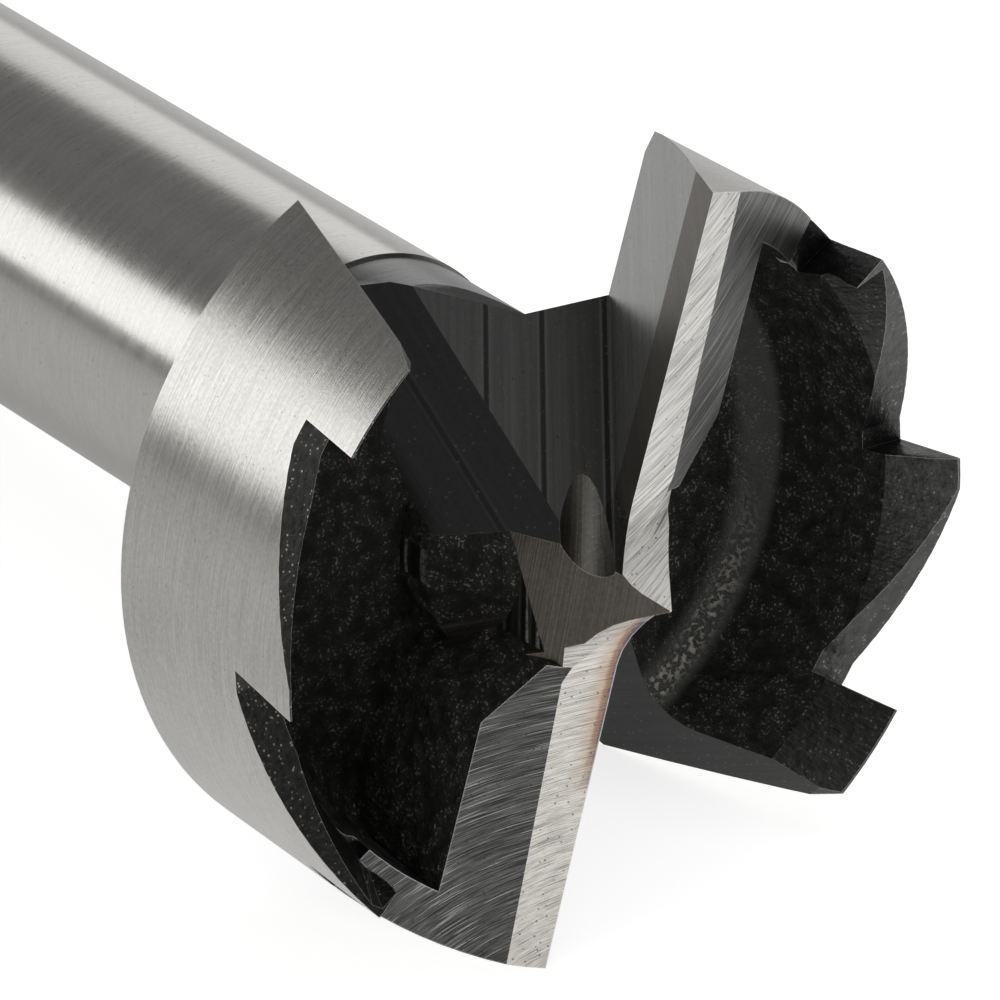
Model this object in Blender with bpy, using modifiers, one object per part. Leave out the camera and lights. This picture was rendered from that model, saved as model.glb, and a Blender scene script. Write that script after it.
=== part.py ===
# Forstner bit: a round shank carrying an 18 mm head with two cutting lobes.
# The bit is drawn in its own frame, with the tip of the centre point at the origin and its
# axis along +Z, and is then laid down on its side the way it rests on a table.
import math

import bmesh
import bpy
from mathutils import Matrix, Vector

MM = 0.001
NAME = "forstner_bit"

# Overall sizes
LENGTH = 90.0 * MM              # tip of the centre point to the end of the shank
HEAD_D = 18.0 * MM              # over the rim
HEAD_LENGTH = 7.08 * MM         # rim to the flat back of the head
POINT_RISE = 1.42 * MM          # how far the centre point stands above the rim
HEAD_TAPER = 1.25               # degrees, back relief of the outside of the head
BACK_CHAMFER = 0.47 * MM
SHANK_D = 8.0 * MM
NECK_D = 7.86 * MM              # turned neck behind the head, a little under the shank
NECK_LENGTH = 3.15 * MM
SHANK_CHAMFER = 0.5 * MM

# Main cutting lips and the lands behind them
RAKE_ANGLE = 30.0               # degrees the rake face leans under the lip
LIP_SKEW = 2.7                  # degrees between the lip and the radius through its corner
LIP_DROP = 0.12 * MM            # lip corner below the rim
LIP_DISH = 1.5                  # degrees the lip falls toward the centre
LAND_RELIEF = 13.0              # degrees
LAND_WIDTH = 0.94 * MM
BACK_RELIEF = 25.5              # degrees, second land
FACET_DEPTH = 0.12 * MM         # honed facet, set back from the rake face at the lip
FACET_WIDTH = 1.8 * MM

# Chip gullets: a first pass leaves the rake face and the floor, a second one leaves the flat
# on the hub and the end face of the next lobe
FLOOR_LEAN = 24.7               # degrees
FLOOR_OFFSET = 0.07 * MM        # floor plane to the tip of the point
LOBE_END = 52.1                 # degrees after the lip where the next lobe starts
LOBE_END_DEPTH = 0.81 * MM      # below the rim, where that angle is taken
SECOND_PASS_LEAN = 22.1         # degrees to the axis
SECOND_PASS_TURN = 172.3        # degrees
END_FACE_TURN = -54.8           # degrees
HUB_FLAT_OFFSET = 0.69 * MM     # hub flat to the tip of the point
HEEL_STEP = 0.52 * MM           # the end face is set back beside the hub
HEEL_STEP_WIDTH = 1.9 * MM

# Pocket in the top of each lobe
RIM_LAND = 0.06 * MM            # flat left on the rim's edge
RIM_BEVEL_WIDTH = 0.9 * MM
RIM_BEVEL_DEPTH = 1.55 * MM
WALL_LEAN = 11.0                # degrees, outer wall of the pocket
POCKET_DEPTH = 4.68 * MM        # rim to the lowest point of the pocket
POCKET_FILLET = 1.3 * MM
FLOOR_RISE = 5.0                # degrees, pocket floor rising to the hub
HUB_R = 3.12 * MM
HUB_DEPTH = 3.3 * MM            # rim to the shoulder of the hub
HUB_CONE = 42.0                 # degrees, half angle above the shoulder
BACK_LAND_WIDTH = 2.15 * MM     # lip to the pocket
LIP_WALL_DRAFT = 4.0            # degrees
LIP_WALL = 1.1 * MM             # the pocket's outer wall beside the lip
POINT_WALL_TURN = -76.6         # degrees, wall of the pocket behind the point
POINT_WALL_OFFSET = 1.66 * MM   # that wall to the axis, at twice the rise of the point
POINT_WALL_DRAFT = 8.0          # degrees
SIDE_WALL_TURN = -124.0         # degrees, wall that joins it to the one behind the land
SIDE_WALL_OFFSET = 0.05 * MM
STEP_ABOVE_FLOOR = 0.25 * MM    # foot of both walls

# Rim teeth. Angles run from the lip in front of the lobe, in degrees; a ramp climbs from the
# foot of each notch to the next tooth
TOOTH_HEEL = (54.8, 102.8, 145.6)
TOOTH_TIP = (69.0, 107.9, 146.1)
NOTCH_FOOT = (67.7, 105.6, 142.7)
NOTCH_END = (71.4, 109.0, 148.5)
NOTCH_DEPTH = (1.86 * MM, 2.10 * MM, 2.23 * MM)     # below the rim
RAMP_DIP = 0.1 * MM             # fall of a ramp from the outside of the rim to the pocket

# Four-sided centre point
POINT_FRONT_TURN = 17.9         # degrees, side faces that run down into the lands
POINT_FRONT_STEEP = 66.7        # degrees
POINT_BACK_TURN = 93.0          # degrees
POINT_BACK_STEEP = 61.5         # degrees
POINT_BACK_REACH = 2.03 * MM
POINT_ROOT_FILLET = 1.1 * MM
POINT_SET_BACK = 0.3 * MM       # second land to the side faces of the point
POINT_FLAT = 0.04 * MM          # the tip is blunted by this much
GASH_R = 0.83 * MM              # thinning groove in the gullet floor beside the point
GASH_DEPTH = 0.35 * MM
GASH_LENGTH = 2.8 * MM
GASH_START = 1.0 * MM

# How finely round surfaces are divided
STEPS = 120
PITCH = 360.0 / STEPS
WELD = 0.002 * MM               # corners closer than this are one
OVERCUT = 1.0 * MM              # how far cutters reach past the surface
FAR = 1.5 * HEAD_D

HEAD_R = HEAD_D / 2
SHANK_R = SHANK_D / 2
NECK_R = NECK_D / 2
RIM_Z = -POINT_RISE
BACK_Z = RIM_Z - HEAD_LENGTH
NECK_Z = BACK_Z - NECK_LENGTH
END_Z = -LENGTH
LIP_Z = RIM_Z - LIP_DROP


def polar(radius, degrees, z):
    angle = math.radians(degrees)
    return Vector((radius * math.cos(angle), radius * math.sin(angle), z))


def direction(turn, rise):
    """Unit vector at an angle round the axis and an angle above the horizontal."""
    return polar(math.cos(math.radians(rise)), turn, math.sin(math.radians(rise)))


def fillet(before, corner, after, radius, count):
    """Points of the arc that rounds a corner of a profile."""
    corner = Vector(corner)
    to_before = (Vector(before) - corner).normalized()
    to_after = (Vector(after) - corner).normalized()
    half = to_before.angle(to_after) / 2
    centre = corner + (to_before + to_after).normalized() * (radius / math.sin(half))
    start = corner + to_before * (radius / math.tan(half)) - centre
    end = corner + to_after * (radius / math.tan(half)) - centre
    sweep = start.angle(end)
    points = []
    for step in range(count + 1):
        share = step / count
        along = start * math.sin((1 - share) * sweep) + end * math.sin(share * sweep)
        points.append(tuple(centre + along / math.sin(sweep)))
    return points


def new_collection(name):
    collection = bpy.data.collections.new(name)
    bpy.context.scene.collection.children.link(collection)
    return collection


def object_from(bm, name, collection, parent):
    mesh = bpy.data.meshes.new(name)
    bmesh.ops.recalc_face_normals(bm, faces=bm.faces)
    if bm.calc_volume(signed=True) < 0:
        bmesh.ops.reverse_faces(bm, faces=bm.faces)
    bm.to_mesh(mesh)
    bm.free()
    obj = bpy.data.objects.new(name, mesh)
    collection.objects.link(obj)
    obj.parent = parent
    return obj


def turned(profile, name, collection, parent):
    """Solid of revolution from (radius, z) points that run down the outer side."""
    bm = bmesh.new()
    verts = [bm.verts.new((radius, 0.0, z)) for radius, z in profile]
    for upper, lower in zip(verts, verts[1:]):
        bm.edges.new((upper, lower))
    mesh = bpy.data.meshes.new(name)
    bm.to_mesh(mesh)
    bm.free()
    obj = bpy.data.objects.new(name, mesh)
    collection.objects.link(obj)
    obj.parent = parent
    screw = obj.modifiers.new("turn", "SCREW")
    screw.axis = "Z"
    screw.steps = STEPS
    screw.render_steps = STEPS
    screw.use_merge_vertices = True
    screw.merge_threshold = 1e-6
    return obj


def keep_side(bm, point, normal):
    """Plane a closed mesh down to the side its normal points to, and close it again."""
    geometry = bm.verts[:] + bm.edges[:] + bm.faces[:]
    cut = bmesh.ops.bisect_plane(bm, geom=geometry, plane_co=point, plane_no=normal,
                                 clear_inner=True, dist=1e-8)
    edges = [e for e in cut["geom_cut"] if isinstance(e, bmesh.types.BMEdge)]
    if edges:
        bmesh.ops.contextual_create(bm, geom=edges)


def block(size, centre):
    bm = bmesh.new()
    matrix = Matrix.Translation(centre) @ Matrix.Diagonal((*size, 1.0))
    bmesh.ops.create_cube(bm, size=1.0, matrix=matrix)
    return bm


def planed_block(planes, size=(FAR, FAR, FAR), centre=(0, 0, 0), rounded=0.0):
    """Convex cutter bounded by planes, each a point and a normal into the cutter. With
    rounded, the edge between the first two planes gets that radius."""
    bm = block(size, centre)
    for point, normal in planes:
        keep_side(bm, point, normal)
    if rounded:
        sides = planes[:2]
        edges = []
        for edge in bm.edges:
            ends = [v.co for v in edge.verts]
            gaps = [abs((co - point).dot(normal)) for co in ends for point, normal in sides]
            if max(gaps) < 1e-6:
                edges.append(edge)
        bmesh.ops.bevel(bm, geom=edges, offset=rounded, offset_type="OFFSET", segments=6,
                        profile=0.5, affect="EDGES")
    return bm


def loft(lower, upper):
    """Closed body between two outlines with the same number of corners."""
    bm = bmesh.new()
    low = [bm.verts.new(co) for co in lower]
    high = [bm.verts.new(co) for co in upper]
    bm.faces.new(low)
    bm.faces.new(high)
    for index in range(len(low)):
        bm.faces.new((low[index - 1], low[index], high[index], high[index - 1]))
    return bm


def wrapped(outline, inner_r, outer_r, dip):
    """Cutter drawn as (degrees, z) points on the unrolled rim and wrapped round the head."""
    bm = bmesh.new()
    verts = [bm.verts.new((math.radians(degrees) * HEAD_R, z, inner_r)) for degrees, z in outline]
    bm.faces.new(verts)
    first = min(degrees for degrees, z in outline)
    last = max(degrees for degrees, z in outline)
    step = math.ceil(first / PITCH) + 0.5
    while step * PITCH < last:
        geometry = bm.verts[:] + bm.edges[:] + bm.faces[:]
        bmesh.ops.bisect_plane(bm, geom=geometry, plane_no=(1, 0, 0), dist=1e-8,
                               plane_co=(math.radians(step * PITCH) * HEAD_R, 0, 0))
        step += 1
    made = bmesh.ops.extrude_face_region(bm, geom=bm.faces[:])
    for vert in made["geom"]:
        if isinstance(vert, bmesh.types.BMVert):
            vert.co.z = outer_r
    for vert in bm.verts:
        arc, z, radius = vert.co
        fall = dip * (HEAD_R - radius) / RIM_BEVEL_WIDTH
        vert.co = polar(radius, math.degrees(arc / HEAD_R), z - fall)
    return bm


def sector(profile, start, end):
    """Ring sector from a closed (radius, z) profile, in whole steps of the turned blank."""
    first = math.floor(start / PITCH)
    last = math.ceil(end / PITCH)
    bm = bmesh.new()
    verts = [bm.verts.new(polar(radius, first * PITCH, z)) for radius, z in profile]
    face = bm.faces.new(verts)
    bmesh.ops.spin(bm, geom=[face] + face.verts[:] + face.edges[:], cent=(0, 0, 0),
                   axis=(0, 0, 1), angle=math.radians((last - first) * PITCH),
                   steps=last - first)
    return bm


for old in list(bpy.data.objects):
    bpy.data.objects.remove(old, do_unlink=True)
parts = new_collection(NAME)
cutters = new_collection(NAME + "_cutters")
bit_axis = bpy.data.objects.new("bit_axis", None)
bit_axis.empty_display_size = HEAD_R
parts.objects.link(bit_axis)

# Turned blank
taper = math.tan(math.radians(HEAD_TAPER))
back_r = HEAD_R - (HEAD_LENGTH - BACK_CHAMFER) * taper
blank = turned([
    (0.0, 0.0),
    (POINT_RISE / 4, 0.0),
    (POINT_RISE * 1.25, RIM_Z),
    (HEAD_R, RIM_Z),
    (back_r, BACK_Z + BACK_CHAMFER),
    (back_r - BACK_CHAMFER, BACK_Z),
    (NECK_R, BACK_Z),
    (NECK_R, NECK_Z),
    (SHANK_R, NECK_Z),
    (SHANK_R, END_Z + SHANK_CHAMFER),
    (SHANK_R - SHANK_CHAMFER, END_Z),
    (0.0, END_Z),
], NAME, parts, bit_axis)


def boolean(operation, tool):
    tool.hide_render = True
    tool.display_type = "WIRE"
    modifier = blank.modifiers.new(tool.name, "BOOLEAN")
    modifier.operation = operation
    modifier.solver = "EXACT"
    modifier.object = tool
    weld = blank.modifiers.new(tool.name + "_weld", "WELD")
    weld.merge_threshold = WELD


def cut_pair(bm, name):
    """Take a cutter out of one lobe, and its twin half a turn on out of the other."""
    first = object_from(bm, name, cutters, bit_axis)
    second = first.copy()
    second.rotation_euler.z = math.pi
    cutters.objects.link(second)
    boolean("DIFFERENCE", first)
    boolean("DIFFERENCE", second)


# Lip A points along +X and the bit turns toward +Y. Every cutter below is for lobe A or for
# the gullet in front of it, and its twin serves the other lobe.
# Pocket in the top of each lobe, open at its heel. Beside the lip the wall is thicker
rim_bevel = (HEAD_R - RIM_BEVEL_WIDTH, RIM_Z - RIM_BEVEL_DEPTH)
pocket_z = RIM_Z - POCKET_DEPTH
wall_run = (rim_bevel[1] - pocket_z) * math.tan(math.radians(WALL_LEAN))
wall_foot = (rim_bevel[0] - wall_run, pocket_z)
floor_rise = math.tan(math.radians(FLOOR_RISE))
hub_foot = (HUB_R, pocket_z + (wall_foot[0] - HUB_R) * floor_rise)
bevel_slope = RIM_BEVEL_DEPTH / (RIM_BEVEL_WIDTH - RIM_LAND)
over = (HEAD_R - RIM_LAND + OVERCUT, RIM_Z + OVERCUT * bevel_slope)
pocket_corner = fillet((*rim_bevel, 0), (*wall_foot, 0), (*hub_foot, 0), POCKET_FILLET, 6)
pocket_inner = HUB_R / 2
profile = [over, rim_bevel]
profile += [(x, z) for x, z, flat in pocket_corner]
profile += [(pocket_inner, hub_foot[1] + (HUB_R - pocket_inner) * floor_rise)]
profile += [(pocket_inner, over[1])]
third_tip = TOOTH_TIP[2] - 180.0
inner_wall_r = HEAD_R - LIP_WALL
pocket = sector(profile, LOBE_END - 180.0 - 30.0, 0.0)
for vert in pocket.verts:
    turn = math.degrees(math.atan2(vert.co.y, vert.co.x))
    radius = math.hypot(vert.co.x, vert.co.y)
    if third_tip < turn and radius > inner_wall_r:
        vert.co = polar(inner_wall_r, turn, vert.co.z)
lip_corner = Vector((HEAD_R, 0.0, LIP_Z))
lip_wall = direction(-90.0 - LIP_SKEW, LIP_WALL_DRAFT)
back_wall = Vector((0.0, -BACK_LAND_WIDTH, LIP_Z)) + polar(HEAD_R / 2, -LIP_SKEW, 0.0)
keep_side(pocket, back_wall, lip_wall)
cut_pair(pocket, "pocket")


# The pocket reaches in behind the point
point_wall = direction(POINT_WALL_TURN, POINT_WALL_DRAFT)
side_wall = direction(SIDE_WALL_TURN, POINT_WALL_DRAFT)
level = Vector((0.0, 0.0, -2 * POINT_RISE))
step_z = hub_foot[1] + STEP_ABOVE_FLOOR
cut_pair(planed_block([(level + point_wall * POINT_WALL_OFFSET, point_wall),
                       (level + side_wall * SIDE_WALL_OFFSET, side_wall)],
                      size=(2 * HUB_R, HUB_R, 2 * HEAD_LENGTH),
                      centre=(HUB_R / 5, -0.8 * HUB_R, step_z + HEAD_LENGTH)),
         "point_wall")

# Back faces of the centre point, and the hub that they run into
point_front = direction(POINT_FRONT_TURN, 90.0 - POINT_FRONT_STEEP)
point_back = direction(POINT_BACK_TURN, 90.0 - POINT_BACK_STEEP)
tip_point = Vector((0.0, 0.0, POINT_FLAT))
reach = POINT_BACK_REACH
back_width = 1.1 * BACK_LAND_WIDTH
cut_pair(planed_block([(tip_point, point_back)],
                      size=(2 * reach, 2 * back_width, 4 * HEAD_R)), "point_back")
shoulder_z = RIM_Z - HUB_DEPTH
hub_base = (pocket_z + BACK_Z) / 2
hub = turned([(0.0, shoulder_z + HUB_R / math.tan(math.radians(HUB_CONE))),
              (HUB_R, shoulder_z),
              (HUB_R, hub_base),
              (0.0, hub_base)], "hub", cutters, bit_axis)
boolean("UNION", hub)

# Gullets, first pass
rake = direction(90.0 - LIP_SKEW, -RAKE_ANGLE)
along_lip = Vector((rake.y, -rake.x, 0.0)).normalized()
up_rake = along_lip.cross(rake)
rake_face = lip_corner + rake * FACET_DEPTH
lean = math.radians(FLOOR_LEAN)
floor = along_lip * math.cos(lean) + up_rake * math.sin(lean)

# Second pass of the gullet
second_dir = direction(SECOND_PASS_TURN, 90.0 - SECOND_PASS_LEAN)
flat_dir = polar(1.0, END_FACE_TURN, 0.0)
end_rise = math.atan(-(flat_dir.x * second_dir.x + flat_dir.y * second_dir.y) / second_dir.z)
end_face = direction(END_FACE_TURN, math.degrees(end_rise))
hub_flat = second_dir.cross(end_face)
if hub_flat.x < 0:
    hub_flat.negate()
lobe_start = polar(HEAD_R, LOBE_END, RIM_Z - LOBE_END_DEPTH)

floor_plane = (floor * FLOOR_OFFSET, floor)
flat_plane = (hub_flat * HUB_FLAT_OFFSET, hub_flat)
rake_plane = (rake_face, rake)
end_plane = (lobe_start, end_face)
step_plane = (lobe_start - end_face * HEEL_STEP, end_face)


def gullet_section(z):
    """Outline of the gullet across the axis at one height."""
    def meet(one, other):
        level = Vector((0.0, 0.0, 1.0))
        rows = Matrix((one[1], other[1], level))
        return rows.inverted() @ Vector((one[0].dot(one[1]), other[0].dot(other[1]), z))
    root = meet(rake_plane, floor_plane)
    ridge = meet(floor_plane, flat_plane)
    corner = meet(flat_plane, step_plane)
    step_end = meet(flat_plane, end_plane)
    along_end = Vector((-end_face.y, end_face.x, 0.0)).normalized()
    along_rake = Vector((rake.y, -rake.x, 0.0)).normalized()
    return [root, ridge, corner, corner + along_end * HEEL_STEP_WIDTH,
            step_end + along_end * (HEEL_STEP_WIDTH + HEEL_STEP),
            step_end + along_end * FAR, root + along_rake * FAR]


gullet = loft(gullet_section(BACK_Z - HEAD_LENGTH), gullet_section(RIM_Z / 2))
cut_pair(gullet, "gullet")

# Honed facet beside the lip, which runs out down the rake face
facet = (rake * FACET_WIDTH + up_rake * FACET_DEPTH).normalized()
facet_front = rake_face + rake * FACET_DEPTH * 3
facet_end = floor * (FLOOR_OFFSET + FACET_DEPTH / 4)
cut_pair(planed_block([(lip_corner, facet), (facet_end, floor), (facet_front, -rake)]),
         "lip_facet")

# Thinning groove that runs out up the gullet floor
pass_dir = floor.cross(rake)
if pass_dir.z < 0:
    pass_dir.negate()
gash_tilt = math.atan(GASH_DEPTH / GASH_LENGTH)
gash_dir = pass_dir * math.cos(gash_tilt) - floor * math.sin(gash_tilt)
gash_side = rake.dot(rake_face) + GASH_R * 0.8
deepest = (rake * gash_side + floor * (FLOOR_OFFSET - GASH_DEPTH) - pass_dir * GASH_START)
gash_axis = deepest + floor * GASH_R
gash = bmesh.new()
gash_reach = 2 * GASH_LENGTH
turn_to = gash_dir.to_track_quat("Z", "X").to_matrix().to_4x4()
bmesh.ops.create_cone(gash, cap_ends=True, segments=32, radius1=GASH_R, radius2=GASH_R,
                      depth=2 * gash_reach,
                      matrix=Matrix.Translation(gash_axis) @ turn_to)
keep_side(gash, rake_face, rake)
cut_pair(gash, "gash")

# Notches of the rim, with the ramps that climb from them
for heel, tip, foot, end, depth, following in zip(
        TOOTH_HEEL, TOOTH_TIP, NOTCH_FOOT, NOTCH_END, NOTCH_DEPTH, TOOTH_HEEL[1:] + (None,)):
    bottom = RIM_Z - depth
    above = RIM_Z + OVERCUT
    lead = (tip - foot) / depth * OVERCUT
    outline = [(tip + lead, above), (foot, bottom)]
    if following is None:
        outline += [(end, bottom), (end, above)]
    else:
        slope = depth / (following - end)
        outline += [(end, bottom), (following + OVERCUT / slope, above)]
    turned_outline = [(degrees - 180.0, z) for degrees, z in outline]
    inner_r = wall_foot[0]
    cut_pair(wrapped(turned_outline, inner_r, HEAD_R + OVERCUT, RAMP_DIP), "notch")

# Heel of the first tooth
heel_top = polar(HEAD_R, TOOTH_HEEL[0], RIM_Z)
heel_low = lobe_start
radial = polar(1.0, (TOOTH_HEEL[0] + LOBE_END) / 2, 0.0)
heel_break = (heel_top - heel_low).cross(radial).normalized()
if heel_break.dot(end_face) < 0:
    heel_break.negate()
heel_size = HEAD_R / 2
heel_above = heel_low.z + heel_size - OVERCUT
cut_pair(planed_block([(heel_low, heel_break)], size=(heel_size, heel_size, 2 * heel_size),
                      centre=polar(HEAD_R, LOBE_END, heel_above)), "tooth_heel")

# Lands behind the lip, filleted into the side faces of the centre point
dish = math.tan(math.radians(LIP_DISH))
relief = math.tan(math.radians(LAND_RELIEF))
back_relief = math.tan(math.radians(BACK_RELIEF))
land = Vector((-dish, -relief, 1.0)).normalized()
back_land = Vector((-dish, -back_relief, 1.0)).normalized()
land_heel = Vector((HEAD_R, -LAND_WIDTH, LIP_Z - LAND_WIDTH * relief))
third_front = polar(inner_wall_r, third_tip + 0.5, 0.0)
third_tooth = direction(third_tip + 100.0, 0.0)
ahead = (Vector((0, 2 * LAND_WIDTH, 0)), Vector((0, -1, 0)))
behind = (Vector((0, -2 * LAND_WIDTH, 0)), Vector((0, 1, 0)))
cut_pair(planed_block([(lip_corner, land), (tip_point, point_front), ahead, behind],
                      rounded=POINT_ROOT_FILLET), "land")
set_back = tip_point + point_front * POINT_SET_BACK
cut_pair(planed_block([(land_heel, back_land), (set_back, point_front),
                       (Vector((0, LAND_WIDTH, 0)), Vector((0, -1, 0))),
                       (third_front, third_tooth)]), "back_land")

# Material
steel = bpy.data.materials.new("steel")
steel.use_nodes = True
shader = steel.node_tree.nodes["Principled BSDF"]
shader.inputs["Base Color"].default_value = (0.45, 0.44, 0.42, 1.0)
shader.inputs["Metallic"].default_value = 1.0
shader.inputs["Roughness"].default_value = 0.35
blank.data.materials.append(steel)

# The bit rests on the corner of one lip, on the back corner of the next lobe's heel and on
# the edge of the shank's end
rest_front = -lip_corner
rest_front.z = LIP_Z
heel_back = Vector((0, 0, 0))
low, high = LOBE_END - 40.0, LOBE_END
for attempt in range(60):
    middle = (low + high) / 2
    heel_back = polar(back_r, middle, BACK_Z + BACK_CHAMFER)
    if (heel_back - lobe_start).dot(end_face) > 0:
        low = middle
    else:
        high = middle
rest_heel = Vector((-heel_back.x, -heel_back.y, heel_back.z))
edge = rest_front - rest_heel
low, high = 0.0, math.radians(30.0)
for attempt in range(60):
    nose_up = (low + high) / 2
    flat = Vector((edge.x, edge.y, 0.0))
    share = edge.z * math.sin(nose_up) / (flat.length * math.cos(nose_up))
    turn = math.atan2(edge.y, edge.x) + math.acos(share)
    down = Vector((math.cos(turn) * math.cos(nose_up), math.sin(turn) * math.cos(nose_up),
                   -math.sin(nose_up)))
    shank_low = SHANK_R * math.cos(nose_up) - (END_Z + SHANK_CHAMFER) * math.sin(nose_up)
    if shank_low < down.dot(rest_front):
        low = nose_up
    else:
        high = nose_up
up = -down
forward = (Vector((0, 0, 1)) - up * up.z).normalized()
side = up.cross(forward)
laid = Matrix((forward, side, up)).to_4x4()
bit_axis.matrix_world = laid
bpy.context.view_layer.update()
depsgraph = bpy.context.evaluated_depsgraph_get()
solid = blank.evaluated_get(depsgraph).to_mesh()
corners = [laid @ vert.co for vert in solid.vertices]
blank.evaluated_get(depsgraph).to_mesh_clear()
lows = [min(co[axis] for co in corners) for axis in range(3)]
highs = [max(co[axis] for co in corners) for axis in range(3)]
bit_axis.location = (-(lows[0] + highs[0]) / 2, -(lows[1] + highs[1]) / 2, -lows[2])
bpy.context.view_layer.update()
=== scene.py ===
# Forstner bit, dressed for the studio: ground steel, blackened gullets and pockets.
import math

import bmesh
import bpy
from mathutils import Matrix, Vector


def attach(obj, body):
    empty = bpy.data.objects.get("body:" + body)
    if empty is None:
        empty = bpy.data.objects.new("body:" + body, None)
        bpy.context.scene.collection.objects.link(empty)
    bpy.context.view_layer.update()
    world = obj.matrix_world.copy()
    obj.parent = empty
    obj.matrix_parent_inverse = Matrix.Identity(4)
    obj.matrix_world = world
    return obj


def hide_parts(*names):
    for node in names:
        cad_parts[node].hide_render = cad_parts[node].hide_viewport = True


MM = 0.001
TO_MM = 1000.0

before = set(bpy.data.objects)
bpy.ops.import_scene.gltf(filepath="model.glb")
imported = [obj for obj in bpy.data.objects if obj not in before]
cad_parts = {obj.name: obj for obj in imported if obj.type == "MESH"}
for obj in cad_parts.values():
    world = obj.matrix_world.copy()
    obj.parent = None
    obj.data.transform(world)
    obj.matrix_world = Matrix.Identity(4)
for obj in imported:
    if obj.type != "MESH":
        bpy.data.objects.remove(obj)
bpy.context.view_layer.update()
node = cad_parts["forstner_bit"]

# Rest pose: columns are the bit's own x, y and axis, the last one is the tip of its point
REST = Matrix(((-0.048324, -0.016739, 0.998691, 0.045030),
               (0.327304, -0.944919, 0.0, 0.0),
               (0.943683, 0.326876, 0.051141, 0.008571),
               (0.0, 0.0, 0.0, 1.0)))
TO_BIT = REST.inverted()

# Normals of lobe A's faces in the bit's own frame. Lobe B has the same ones half a turn on
RAKE = Vector((0.0408, 0.8651, -0.5))
FLOOR = Vector((0.9173, 0.1659, 0.3619))
LOBE_END = Vector((0.5556, -0.7876, 0.2664))
HUB_FLAT = Vector((0.7432, 0.6141, 0.2656))
LAND = Vector((-0.0255, -0.2249, 0.9740)).normalized()
SECOND_LAND = Vector((-0.0236, -0.4304, 0.9023)).normalized()
POINT_FRONT = Vector((0.3764, 0.1216, 0.9184)).normalized()
POINT_SIDE = Vector((0.87, 0.28, 0.40)).normalized()
POINT_BACK = Vector((-0.0460, 0.8776, 0.4772)).normalized()
POINT_WALL = Vector((0.2295, -0.9633, 0.1392)).normalized()

# Lines in the bit's own frame: the wheel's run in the gullet and in the gash, and the axis
FEED = Vector((-0.396, 0.473, 0.787)).normalized()
GASH_AXIS = Vector((-0.509, 0.4426, 0.738)).normalized()
RIDGE = FLOOR.cross(HUB_FLAT).normalized()
AXIS = Vector((0, 0, 1))

# Least dot product of two unit vectors for a face of the same plane, or for one that is near it
SAME_PLANE = 0.9999
SAME_FACE = 0.9995
FACET_FACE = 0.996
SIDE_FACE = 0.99
NEAR_FACE = 0.98
FRONT_FACE = 0.80

# Places on the bit in mm: radii, and heights along the axis below the tip of the point
RIM_R = 9.0
RIM_DEPTH = 0.75
TOOTH_R = 7.9
TOOTH_SIDE_R = 7.6
TEETH_END_Z = -4.3
POINT_FOOT_R = 3.6
POINT_FOOT_Z = -4.2
POINT_BACK_R = 2.9
POINT_FLANK_R = 2.8
POINT_FLANK_Z = -2.1
LAND_START_R = 2.0
POINT_CORE_R = 1.2
POINT_CORE_Z = -3.6
GASH_R = 3.2
GASH_TOP_Z = -1.2
FACET_START_R = 1.5
NECK_MIN_R = 3.8
BACK_Z = -8.5
NECK_Z = -11.65

BLACK = (0.012, 0.012, 0.012)
DUST = (0.35, 0.35, 0.33)
GLINT = (0.55, 0.54, 0.50)


class Value:
    """A shader socket that takes part in sums."""

    def __init__(self, tree, socket=None):
        self.tree = tree
        self.socket = socket

    def feed(self, socket, value):
        """Link a Value to a socket, or write a plain number or colour on it."""
        if isinstance(value, Value):
            self.tree.links.new(value.socket, socket)
        elif value is not None:
            socket.default_value = value

    def node(self, kind, *inputs, out=0, **settings):
        """A new node with its settings, then its inputs in order, None for one left alone."""
        made = self.tree.nodes.new(kind)
        for name, setting in settings.items():
            setattr(made, name, setting)
        for index, value in enumerate(inputs):
            self.feed(made.inputs[index], value)
        return Value(self.tree, made.outputs[out])

    def math(self, operation, *inputs):
        return self.node("ShaderNodeMath", *inputs, operation=operation)

    def __add__(self, other):
        return self.math("ADD", self, other)

    __radd__ = __add__

    def __sub__(self, other):
        return self.math("SUBTRACT", self, other)

    def __rsub__(self, other):
        return self.math("SUBTRACT", other, self)

    def __mul__(self, other):
        return self.math("MULTIPLY", self, other)

    __rmul__ = __mul__

    def __pow__(self, other):
        return self.math("POWER", self, other)

    def between(self, low, high):
        """0 below low, 1 above high, and smooth in between."""
        return self.node("ShaderNodeMapRange", self, low, high, 0.0, 1.0,
                         interpolation_type="SMOOTHSTEP")

    def inside(self, low, rise, fall, high):
        """1 from rise to fall, 0 below low and above high."""
        return self.between(low, rise) * (1 - self.between(fall, high))


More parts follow.
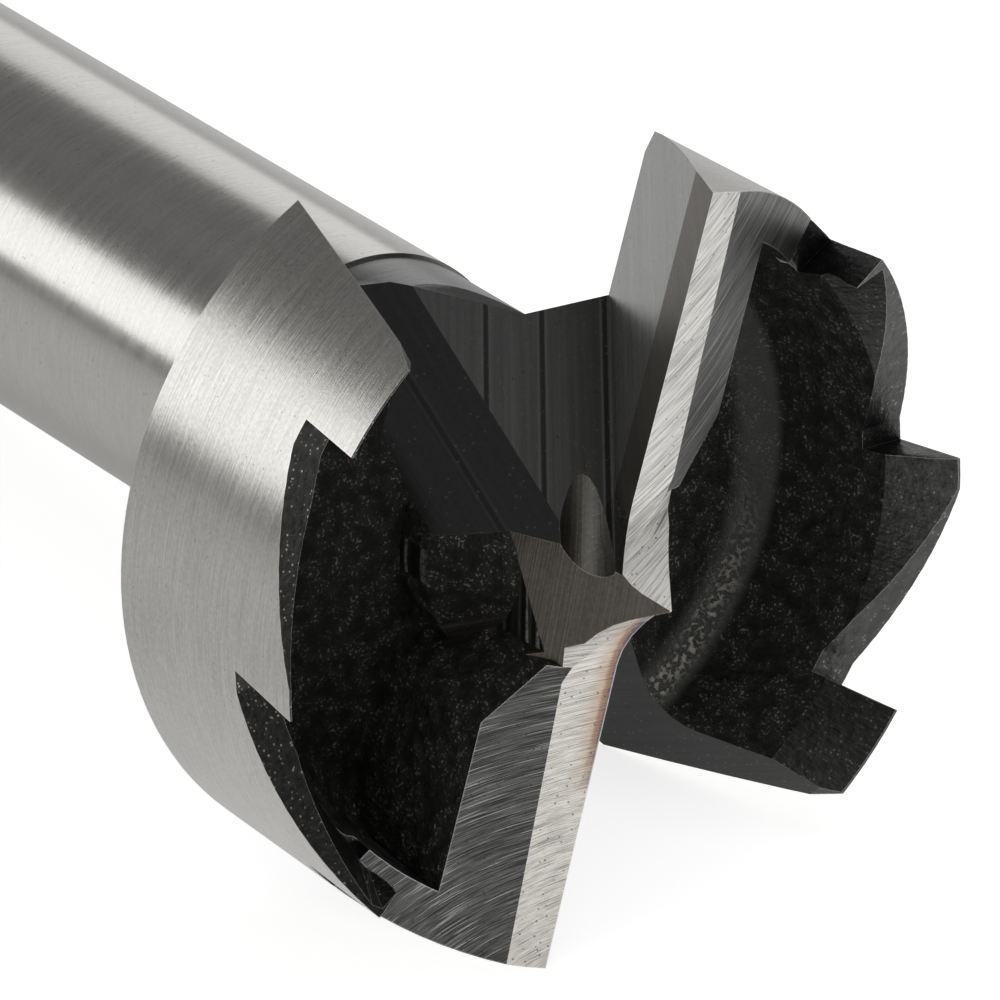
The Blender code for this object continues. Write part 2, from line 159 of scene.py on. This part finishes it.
class Finish:
    """One material, with the places on the bit that its patterns read."""

    def __init__(self, name):
        self.material = bpy.data.materials.new(name)
        self.material.use_nodes = True
        self.tree = self.material.node_tree
        self.shader = self.tree.nodes["Principled BSDF"]
        self.start = Value(self.tree)
        metres = self.start.node("ShaderNodeTexCoord", out=3)
        self.place = self.start.node("ShaderNodeVectorMath", metres, None, None, TO_MM,
                                     operation="SCALE")
        grain = self.start.node("ShaderNodeUVMap", uv_map="grain")
        self.across = self.start.node("ShaderNodeSeparateXYZ", grain, out=0)
        self.along = self.start.node("ShaderNodeSeparateXYZ", grain, out=1)

    def dot(self, first, second):
        return self.start.node("ShaderNodeVectorMath", first, second,
                               operation="DOT_PRODUCT", out=1)

    def bit(self, axis):
        """Millimetres along one axis of the bit's own frame."""
        column = REST.col[axis].to_3d()
        return self.dot(self.place, tuple(column)) - REST.translation.dot(column) * TO_MM

    def edge(self, radius=0.05):
        """1 on the outer edges of a face, over about this many mm."""
        rounded = self.start.node("ShaderNodeBevel", radius * MM)
        straight = self.start.node("ShaderNodeNewGeometry", out=1)
        return (1 - self.dot(rounded, straight)).between(0.02, 0.16)

    def lines(self, density, stretch, detail=2.0, seed=0.0, roughness=0.5):
        """Streaks along the grain: density per mm across it, stretch times longer along it."""
        spot = self.start.node("ShaderNodeCombineXYZ", self.across * density,
                               self.along * (density / stretch), seed)
        return self.start.node("ShaderNodeTexNoise", spot, None, 1.0, detail, roughness)

    def arcs(self, turn, centre):
        """Run the grain in arcs round a centre, as a wheel leaves them on a lobe's lands."""
        x = self.bit(0) * -turn + centre[0]
        y = self.bit(1) * -turn + centre[1]
        self.across = (x * x + y * y) ** 0.5
        self.along = self.start.math("ARCTAN2", y, x) * 10.0

    def shifted(self, seed):
        return self.start.node("ShaderNodeVectorMath", self.place, (seed, seed, seed))

    def cloud(self, density, detail=2.0, seed=0.0, roughness=0.5):
        """Plain noise in space, density per mm."""
        return self.start.node("ShaderNodeTexNoise", self.shifted(seed), None, density, detail,
                               roughness)

    def specks(self, density, size, seed=0.0):
        """1 on small scattered spots, density per mm."""
        gap = self.start.node("ShaderNodeTexVoronoi", self.shifted(seed), None, density)
        return 1 - gap.between(size * 0.6, size)

    def blend(self, factor, low, high):
        """Colour low where factor is 0 and high where it is 1."""
        ends = [end if isinstance(end, Value) else (*end, 1.0) for end in (low, high)]
        return self.start.node("ShaderNodeMix", factor, *[None] * 5, *ends, out=2,
                               data_type="RGBA", clamp_factor=True)

    def set(self, colour, roughness, height, depth, metallic=1.0):
        """Feed the shader, with the height as a bump of about depth mm."""
        for name, value in (("Base Color", colour), ("Roughness", roughness),
                            ("Metallic", metallic)):
            self.start.feed(self.shader.inputs[name], value)
        bump = self.start.node("ShaderNodeBump")
        sockets = bump.socket.node.inputs
        for name, value in (("Strength", 1.0), ("Distance", depth * MM), ("Height", height)):
            self.start.feed(sockets[name], value)
        self.start.feed(self.shader.inputs["Normal"], bump)
        return self.material


def turned_steel(name, light, dark, density, depth, rough, edge_highlight=0.6):
    """Steel ground on centres, with fine lines round the axis."""
    steel = Finish(name)
    fine = steel.lines(density, 40.0, detail=4.0, roughness=0.6)
    coarse = steel.lines(density / 5, 90.0, seed=3.0)
    patches = steel.cloud(0.7, seed=5.0)
    grit = steel.cloud(11.0, detail=3.0, seed=8.0)
    pits = steel.specks(3.5, 0.10, seed=9.0)
    tone = fine * 0.5 + coarse * 0.1 + patches * 0.1 + grit * 0.3
    colour = steel.blend(tone.between(0.32, 0.68), dark, light)
    colour = steel.blend(pits * 0.45, colour, (0.10, 0.09, 0.08))
    # Painted highlight: the colour is lighter along the sharp edges, as if they caught the light
    colour = steel.blend(steel.edge() * edge_highlight, colour, (0.80, 0.79, 0.76))
    height = fine + coarse * 0.3 + grit * 0.4
    return steel.set(colour, rough + (coarse - 0.5) * 0.08, height, depth)


def milled_steel(name, light, dark, density, depth, rough, marks=(), crests=0.3, edge_highlight=0.0,
                 pitted=0.0, shade=None, dusty=6.0, dust_light=0.3):
    """Ground steel with fine feed lines, and double marks of the wheel at some places."""
    steel = Finish(name)
    fine = steel.lines(density, 80.0, detail=3.0)
    coarse = steel.lines(density / 8, 120.0, seed=4.0)
    grit = steel.cloud(10.0, detail=4.0, seed=3.0)
    dust = steel.specks(dusty, 0.16, seed=2.0)
    tone = fine * 0.45 + coarse * 0.25 + grit * 0.3
    colour = steel.blend(tone.between(0.32, 0.66), dark, light)
    if shade:
        low, high, deepest = shade
        colour = steel.blend((1 - steel.across.between(low, high)) * deepest, colour,
                             (0.012, 0.012, 0.011))
    for spot in marks:
        offset = steel.across - spot
        groove = offset.inside(-0.09, -0.05, 0.03, 0.07)
        crest = offset.inside(-0.15, -0.11, 0.09, 0.13) * (1 - groove)
        colour = steel.blend(groove * 0.7, colour, BLACK)
        colour = steel.blend(crest * crests, colour, (0.22, 0.22, 0.21))
    if pitted:
        pits = steel.specks(2.6, 0.13, seed=6.0) * grit.between(0.45, 0.6)
        colour = steel.blend(pits * pitted, colour, (0.015, 0.015, 0.015))
    colour = steel.blend(dust * dust_light, colour, DUST)
    # Painted highlight: the colour is lighter along the sharp edges, as if they caught the light
    if edge_highlight:
        colour = steel.blend(steel.edge(0.03) * edge_highlight, colour, (0.60, 0.59, 0.56))
    return steel.set(colour, rough + (fine - 0.5) * 0.15, fine + coarse * 0.8, depth)


def heat_tint(steel, colour, fine, coarse):
    """Straw, brown and blue, from the second land to the lip and fading away from the point."""
    from_lip = steel.bit(1) + steel.bit(0) * 0.047 + 0.36 + (fine - 0.5) * 0.25
    along_lip = steel.bit(0) * -1.0 + (coarse - 0.5) * 1.5
    reach = along_lip.inside(0.2, 0.8, 3.4, 5.2)
    for near, far, strength, tint in ((0.20, 0.62, 0.6, (0.56, 0.40, 0.27)),
                                      (0.12, 0.24, 0.7, (0.28, 0.13, 0.07)),
                                      (0.02, 0.08, 0.7, (0.07, 0.08, 0.16))):
        colour = steel.blend((1 - from_lip.between(near, far)) * reach * strength, colour, tint)
    return colour


def ground_land(name, turn, light, dark, density, depth, rough, streak, tinted=False):
    """Land behind a lip, with the coarse scratches of the wheel, and burnt beside the point."""
    steel = Finish(name)
    steel.arcs(turn, (16.0, 9.0) if turn > 0 else (13.0, 2.6))
    fine = steel.lines(density, 30.0, detail=3.0, roughness=0.6)
    coarse = steel.lines(density / 6, 30.0, detail=2.0, seed=6.0)
    deep = steel.lines(density * 1.3, 80.0, detail=2.0, seed=8.0)
    pits = steel.specks(5.0, 0.17, seed=1.0)
    tone = fine * 0.8 + coarse * 0.2
    colour = steel.blend(tone.between(0.42, 0.56), dark, light)
    colour = steel.blend(deep.between(0.60, 0.66) * streak, colour, (0.88, 0.87, 0.84))
    colour = steel.blend((1 - deep.between(0.34, 0.41)) * 0.75, colour,
                         tuple(part * 0.3 for part in dark))
    if tinted:
        colour = heat_tint(steel, colour, fine, coarse)
    colour = steel.blend(pits * 0.6, colour, (0.05, 0.05, 0.05))
    # Painted highlight: the colour is lighter along the sharp edges, as if they caught the light
    colour = steel.blend(steel.edge(0.05) * 0.8, colour, (0.82, 0.80, 0.76))
    return steel.set(colour, rough + (fine - 0.5) * 0.25, fine + coarse * 0.5 + deep * 0.7, depth)


def forged_skin(name):
    """Black scale of the pocket: rough, with painted glints, and greyer where the wall meets the
    floor, a painted highlight.
    """
    steel = Finish(name)
    grit = steel.cloud(9.0, detail=6.0, roughness=0.7)
    lumps = steel.cloud(2.5, detail=3.0, seed=4.0)
    glints = steel.cloud(15.0, detail=1.0, seed=7.0).between(0.60, 0.66)
    glints = glints * lumps.between(0.40, 0.62)
    # Painted highlight: a greyer band where the wall meets the floor, in lobe A's pocket only
    foot_highlight = steel.across.inside(6.0, 6.6, 7.15, 7.35)
    foot_highlight = foot_highlight * (1 - steel.along.between(-5.6, -5.3)) * (1 - steel.bit(1).between(-1.0, 0.0))
    crest = steel.across.inside(6.4, 6.7, 6.95, 7.2)
    rough_end = foot_highlight * crest * (1 - steel.bit(0).between(-3.5, 1.0))
    # Pebbles: real bumps in the height, and painted glints in the colour on the band's rough end
    pebble_bumps_and_glints = steel.cloud(8.0, detail=3.0, seed=2.0).between(0.45, 0.60)
    colour = steel.blend(lumps.between(0.35, 0.7), (0.018, 0.018, 0.016), (0.045, 0.045, 0.040))
    colour = steel.blend(foot_highlight * 0.85, colour, (0.18, 0.18, 0.174))
    colour = steel.blend(glints * 0.5, colour, GLINT)
    colour = steel.blend(rough_end * pebble_bumps_and_glints, colour, (0.80, 0.78, 0.71))
    height = grit + lumps * 2 + pebble_bumps_and_glints * rough_end
    return steel.set(colour, 0.42 + (grit - 0.5) * 0.4, height, 0.11, 0.6)


def glazed_wall(name):
    """Wall behind the point: black, with bright runs along it."""
    steel = Finish(name)
    runs = steel.lines(2.6, 60.0, detail=1.0, seed=5.0)
    grit = steel.cloud(9.0, detail=5.0, roughness=0.7)
    bright = runs.inside(0.54, 0.58, 0.60, 0.65) * grit.between(0.3, 0.55)
    colour = steel.blend(bright * 0.9, (0.05, 0.05, 0.047), (0.80, 0.78, 0.73))
    return steel.set(colour, 0.30, runs * 3 + grit * 0.4, 0.06, 0.7)


def speckled_steel(name, light, dark, bright):
    """Teeth of the rim: dark ground steel with painted glints as bright specks, and painted
    highlights on its edges.
    """
    steel = Finish(name)
    fine = steel.lines(9.0, 14.0, detail=3.0)
    cloud = steel.cloud(4.0, detail=4.0, seed=5.0)
    specks = steel.specks(8.0, 0.26, seed=3.0) * cloud.between(0.40, 0.62)
    colour = steel.blend((fine * 0.4 + cloud * 0.6).between(0.3, 0.7), dark, light)
    # Painted glints: bright specks in the colour
    colour = steel.blend(specks * bright, colour, GLINT)
    # Painted highlight: the colour is lighter along the sharp edges
    colour = steel.blend(steel.edge(0.03) * 0.7, colour, (0.66, 0.65, 0.61))
    return steel.set(colour, 0.36, fine * 0.6 + steel.cloud(8.0) * 0.8, 0.02)


SHANK = turned_steel("brushed shank", light=(0.64, 0.63, 0.605), dark=(0.54, 0.532, 0.51),
                     density=18.0, depth=0.0012, rough=0.17, edge_highlight=0.0)
RIM = turned_steel("ground rim", light=(0.66, 0.645, 0.615), dark=(0.46, 0.45, 0.425),
                   density=20.0, depth=0.0022, rough=0.19, edge_highlight=0.9)
NECK = turned_steel("turned neck", light=(0.21, 0.21, 0.208), dark=(0.15, 0.15, 0.148),
                    density=8.0, depth=0.003, rough=0.26, edge_highlight=0.0)
BACK = turned_steel("faced back", light=(0.52, 0.51, 0.49), dark=(0.36, 0.355, 0.34),
                    density=8.0, depth=0.008, rough=0.34)
FLOOR_STEEL = milled_steel("gullet floor", light=(0.150, 0.150, 0.147), dark=(0.120, 0.120, 0.118),
                           density=9.0, depth=0.003, rough=0.24, marks=(4.10, 2.82, 1.37),
                           pitted=0.6, shade=(0.9, 3.6, 0.72))
END_STEEL = milled_steel("lobe end", light=(0.062, 0.062, 0.061), dark=(0.048, 0.048, 0.047),
                         density=7.0, depth=0.003, rough=0.28)
HUB_STEEL = milled_steel("hub flat", light=(0.020, 0.021, 0.020), dark=(0.014, 0.015, 0.014),
                         density=5.0, depth=0.002, rough=0.24, marks=(2.30,), crests=0.02,
                         edge_highlight=0.1, dusty=4.0, dust_light=0.05)
RAKE_STEEL = milled_steel("rake face", light=(0.44, 0.44, 0.435), dark=(0.30, 0.30, 0.295),
                          density=18.0, depth=0.005, rough=0.28, pitted=0.8)
FACET_STEEL = milled_steel("honed facet", light=(0.23, 0.21, 0.18), dark=(0.14, 0.125, 0.105),
                           density=16.0, depth=0.005, rough=0.34, edge_highlight=0.5)
LAND_STEEL = ground_land("ground land", 1, light=(0.79, 0.775, 0.745), dark=(0.47, 0.46, 0.44),
                         density=36.0, depth=0.010, rough=0.36, streak=0.6)
# Lobe B's land: its heat tint is real, and its tone lighter than lobe A's land is painted light
BURNT_LAND_LIT = ground_land("burnt land", -1, light=(0.86, 0.832, 0.772), dark=(0.60, 0.577, 0.53),
                         density=36.0, depth=0.010, rough=0.42, streak=0.5, tinted=True)
SECOND_STEEL = ground_land("second land", 1, light=(0.19, 0.19, 0.185),
                           dark=(0.095, 0.095, 0.093), density=28.0, depth=0.012, rough=0.36,
                           streak=0.4)
# Painted shade: lobe B's second land, the same steel as lobe A's, made darker in the colour
SECOND_SHADED = ground_land("second land twin", -1, light=(0.15, 0.15, 0.145),
                          dark=(0.075, 0.075, 0.073), density=28.0, depth=0.012, rough=0.36,
                          streak=0.4)
POCKET_STEEL = forged_skin("forged pocket")
WALL_STEEL = glazed_wall("point wall")
RAMP_STEEL = speckled_steel("tooth ramp", light=(0.10, 0.10, 0.098), dark=(0.063, 0.063, 0.061),
                            bright=0.35)
# Painted shade: the ramps on the bit's other side, the same steel made darker in the colour, with
# stronger painted glints
RAMP_SHADED = speckled_steel("tooth ramp twin", light=(0.055, 0.055, 0.053),
                           dark=(0.028, 0.028, 0.027), bright=0.7)
BEVEL_STEEL = speckled_steel("rim bevel", light=(0.085, 0.085, 0.083), dark=(0.045, 0.045, 0.044),
                             bright=0.30)
POINT_STEEL = milled_steel("point", light=(0.145, 0.133, 0.113), dark=(0.085, 0.077, 0.064),
                           density=15.0, depth=0.010, rough=0.34, edge_highlight=0.7, dusty=11.0)
GASH_STEEL = milled_steel("point gash", light=(0.11, 0.105, 0.093), dark=(0.055, 0.052, 0.046),
                          density=12.0, depth=0.008, rough=0.36, edge_highlight=0.4, dusty=9.0)

FINISHES = [SHANK, RIM, NECK, BACK, FLOOR_STEEL, END_STEEL, HUB_STEEL, RAKE_STEEL, FACET_STEEL,
            LAND_STEEL, BURNT_LAND_LIT, SECOND_STEEL, SECOND_SHADED, POCKET_STEEL, WALL_STEEL,
            RAMP_STEEL, RAMP_SHADED, BEVEL_STEEL, POINT_STEEL, GASH_STEEL]
FLAT = [FLOOR_STEEL, END_STEEL, HUB_STEEL, RAKE_STEEL, FACET_STEEL, WALL_STEEL]
ROUND = [SHANK, NECK, RIM]


def half_turned(vector, turn):
    """The vector itself for lobe A, turn 1, and half a turn round the axis for B, turn -1."""
    return Vector((turn * vector.x, turn * vector.y, vector.z))


def lobe_finish(normal, middle, radius, turn):
    """The steel and grinding line of a flat face of one lobe, or None if it isn't one."""
    n, p = half_turned(normal, turn), half_turned(middle, turn)
    # Lobe B takes copies of the lands painted lighter and darker by how light falls on it
    land, second = (LAND_STEEL, SECOND_STEEL) if turn > 0 else (BURNT_LAND_LIT, SECOND_SHADED)
    feed, ridge = half_turned(FEED, turn), half_turned(RIDGE, turn)
    if n.dot(RAKE) > SAME_PLANE:
        return RAKE_STEEL, feed
    if n.dot(RAKE) > FACET_FACE and radius > FACET_START_R:
        return FACET_STEEL, feed
    if n.dot(FLOOR) > SAME_FACE:
        return FLOOR_STEEL, feed
    if n.dot(HUB_FLAT) > SAME_FACE:
        return HUB_STEEL, ridge
    if n.dot(LOBE_END) > SAME_FACE:
        return END_STEEL, ridge
    if n.dot(LAND) > SAME_FACE:
        return land, None
    if n.dot(SECOND_LAND) > SAME_FACE:
        return (second if radius > LAND_START_R else land), None
    if n.dot(POINT_WALL) > NEAR_FACE and radius < GASH_R:
        return WALL_STEEL, normal.cross(AXIS).normalized()
    if n.dot(POINT_BACK) > NEAR_FACE and radius < POINT_BACK_R:
        return POINT_STEEL, Vector((turn, 0.0, 0.0))
    along_gash = abs(n.dot(GASH_AXIS)) < 0.013 and n.x > 0.5
    if along_gash and radius < GASH_R and middle.z < GASH_TOP_Z:
        return GASH_STEEL, feed
    side = n.dot(POINT_SIDE) > SIDE_FACE and radius < POINT_FOOT_R
    flank = n.z > 0.3 and radius < POINT_FLANK_R and middle.z > POINT_FLANK_Z
    front = (n.dot(POINT_FRONT) > FRONT_FACE and radius < POINT_FOOT_R
             and middle.z > POINT_FOOT_Z)
    if side or (p.x > 0 and (flank or front)):
        return land, None
    return None


def finish_of(normal, middle):
    """Which steel a face shows, and the direction of its grinding lines, from where it is."""
    radius = math.hypot(middle.x, middle.y)
    if middle.z < NECK_Z + 0.1:
        return (BACK if normal.z < -0.5 else SHANK), None
    if middle.z < BACK_Z - 0.02 and radius > NECK_MIN_R:
        return NECK, None
    if normal.z < -0.98:
        return BACK, None
    outward = (normal.x * middle.x + normal.y * middle.y) / max(radius, 1e-6)
    if radius > RIM_R - RIM_DEPTH and outward > 0.6 and normal.z < 0.1:
        return RIM, None
    for turn in (1, -1):
        found = lobe_finish(normal, middle, radius, turn)
        if found:
            return found
    if radius < POINT_CORE_R and middle.z > POINT_CORE_Z:
        return POINT_STEEL, AXIS
    if radius > TOOTH_R and middle.z > TEETH_END_Z and normal.z > 0.2:
        if outward < -0.6:
            return BEVEL_STEEL, AXIS
        # The ramps on the side of +y take the copy painted darker
        ramp = RAMP_STEEL if middle.y < 0 else RAMP_SHADED
        return ramp, Vector((-middle.y, middle.x, 0.0)).normalized()
    if radius > TOOTH_SIDE_R and middle.z > TEETH_END_Z and abs(outward) < 0.6:
        return BEVEL_STEEL, AXIS
    return POCKET_STEEL, None


def grain_at(corner, normal, steel, line, turn):
    """Millimetres across and along the grinding lines at a corner of a face."""
    if line is not None:
        across = line.cross(normal)
        across = across.normalized() if across.length > 1e-3 else Vector((1, 0, 0))
        return corner.dot(across), corner.dot(line)
    radius = math.hypot(corner.x, corner.y)
    angle = math.atan2(corner.y, corner.x)
    if steel is POCKET_STEEL:
        return radius, corner.z
    if abs(normal.z) < 0.9:
        unrolled = turn + (angle - turn + math.pi) % (2 * math.pi) - math.pi
        return corner.z, unrolled * RIM_R
    return radius, angle * 4.0


def dressed_copy():
    """The bit's own shape, welded, with a finish and a grain for each face."""
    bm = bmesh.new()
    bm.from_mesh(node.data)
    bmesh.ops.remove_doubles(bm, verts=bm.verts, dist=1e-6)
    grain = bm.loops.layers.uv.new("grain")
    bm.transform(TO_BIT)
    bm.normal_update()
    for face in bm.faces:
        middle = face.calc_center_median() * TO_MM
        steel, line = finish_of(face.normal, middle)
        face.material_index = FINISHES.index(steel)
        face.smooth = True
        turn = math.atan2(middle.y, middle.x)
        for loop in face.loops:
            loop[grain].uv = grain_at(loop.vert.co * TO_MM, face.normal, steel, line, turn)
    for edge in bm.edges:
        faces = edge.link_faces
        if len(faces) == 2:
            same = faces[0].material_index == faces[1].material_index
            edge.smooth = same and edge.calc_face_angle() < math.radians(24.0)
    mesh = bpy.data.meshes.new("forstner_bit_dressed")
    bm.to_mesh(mesh)
    bm.free()
    for steel in FINISHES:
        mesh.materials.append(steel)
    normals = shading_normals(mesh)
    mesh.transform(REST)
    mesh.normals_split_custom_set([REST.to_3x3() @ normal for normal in normals])
    made = bpy.data.objects.new("dressed_bit", mesh)
    bpy.context.scene.collection.objects.link(made)
    return made


def shading_normals(mesh):
    """Each corner's normal in the bit's frame: straight on flats, and true on round faces."""
    normals = [corner.vector.copy() for corner in mesh.corner_normals]
    for face in mesh.polygons:
        steel = FINISHES[face.material_index]
        for corner in face.loop_indices:
            co = mesh.vertices[mesh.loops[corner].vertex_index].co
            if steel in FLAT:
                normals[corner] = face.normal.copy()
            elif steel in ROUND and abs(face.normal.z) < 0.2:
                outward = Vector((co.x, co.y, 0.0)).normalized()
                outward.z = face.normal.z
                normals[corner] = outward.normalized()
    return normals


dressed = dressed_copy()
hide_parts("forstner_bit")
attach(dressed, "root")


def studio_floor():
    """White to the camera, under the bit's soft shadow, and grey in what the steel mirrors."""
    paint = bpy.data.materials.new("studio floor")
    paint.use_nodes = True
    tree = paint.node_tree
    shader = tree.nodes["Principled BSDF"]
    for name, value in (("Base Color", (0.80, 0.80, 0.80, 1.0)), ("Roughness", 0.9),
                        ("Specular IOR Level", 0.0)):
        shader.inputs[name].default_value = value
    start = Value(tree)
    to_camera = start.node("ShaderNodeLightPath", out=0)
    to_steel = start.node("ShaderNodeLightPath", out=3)
    reach = start.node("ShaderNodeSeparateXYZ", start.node("ShaderNodeTexCoord", out=3))
    ahead = reach.between(0.024, 0.054)
    behind = 1 - reach.between(-0.10, 0.03)
    strength = to_camera * 0.76 + to_steel * (0.17 + ahead * 0.45 - behind * 0.14)
    glow = start.node("ShaderNodeEmission", (1.0, 1.0, 1.0, 1.0), strength)
    both = start.node("ShaderNodeAddShader", Value(tree, shader.outputs[0]), glow)
    start.feed(tree.nodes["Material Output"].inputs["Surface"], both)
    bpy.ops.mesh.primitive_plane_add(size=3.0)
    made = bpy.context.object
    made.name = "studio_floor"
    made.data.materials.append(paint)
    return made


floor = studio_floor()

# Heights on the studio's wall, 0.5 at the horizon and 1 overhead, and the greys mirrored there
HORIZON = 0.50
HORIZON_GREY = (0.26, 0.26, 0.257, 1.0)
WALL_GREYS = ((0.60, 0.28), (0.71, 0.19), (0.80, 0.15), (0.87, 0.30), (0.93, 0.50), (1.0, 0.48))


def studio_world():
    """White to the camera, and bands of grey to the steel."""
    world = bpy.data.worlds.new("studio")
    bpy.context.scene.world = world
    world.use_nodes = True
    tree = world.node_tree
    surround = tree.nodes["Background"]
    start = Value(tree)
    rise = start.node("ShaderNodeSeparateXYZ", start.node("ShaderNodeTexCoord"), out=2)
    level = start.node("ShaderNodeValToRGB", rise * 0.5 + 0.5)
    stops = level.socket.node.color_ramp.elements
    stops.remove(stops[1])
    stops[0].position, stops[0].color = HORIZON, HORIZON_GREY
    for position, grey in WALL_GREYS:
        stops.new(position).color = (grey, grey, grey, 1.0)
    start.feed(surround.inputs["Color"], level)
    white = start.node("ShaderNodeBackground", (1.0, 1.0, 1.0, 1.0))
    pick = start.node("ShaderNodeMixShader", start.node("ShaderNodeLightPath"),
                      Value(tree, surround.outputs[0]), white)
    start.feed(tree.nodes["World Output"].inputs["Surface"], pick)


studio_world()

HEAD = Vector((0.043, 0.0, 0.008))


def softbox(name, azimuth, elevation, distance, width, height, power):
    """Rectangular lamp that faces the head of the bit."""
    lamp = bpy.data.lights.new(name, "AREA")
    lamp.shape = "RECTANGLE"
    lamp.size = width
    lamp.size_y = height
    lamp.energy = power
    obj = bpy.data.objects.new(name, lamp)
    bpy.context.scene.collection.objects.link(obj)
    az, el = math.radians(azimuth), math.radians(elevation)
    toward = Vector((math.cos(el) * math.cos(az), math.cos(el) * math.sin(az), math.sin(el)))
    obj.location = HEAD + toward * distance
    obj.rotation_euler = toward.to_track_quat("Z", "Y").to_euler()


softbox("strip_left", azimuth=-146.0, elevation=17.0, distance=0.5, width=0.45, height=0.17,
        power=0.32)
softbox("point_glint", azimuth=54.0, elevation=31.0, distance=0.5, width=0.16, height=0.12,
        power=0.10)
softbox("far_strip", azimuth=142.0, elevation=12.0, distance=0.5, width=0.40, height=0.20,
        power=0.17)
softbox("overhead", azimuth=100.0, elevation=76.0, distance=0.6, width=0.50, height=0.40,
        power=0.55)

camera_data = bpy.data.cameras.new("camera")
camera_data.sensor_width = 36.0
camera_data.lens = 371.736
camera_data.clip_start = 0.01
camera_data.clip_end = 5.0
camera = bpy.data.objects.new("camera", camera_data)
bpy.context.scene.collection.objects.link(camera)
camera.location = (0.198537, -0.109556, 0.126064)
camera.rotation_euler = (1.0246019, 0.0411940, 0.9447671)
bpy.context.scene.camera = camera

bpy.context.scene.view_settings.view_transform = "Standard"
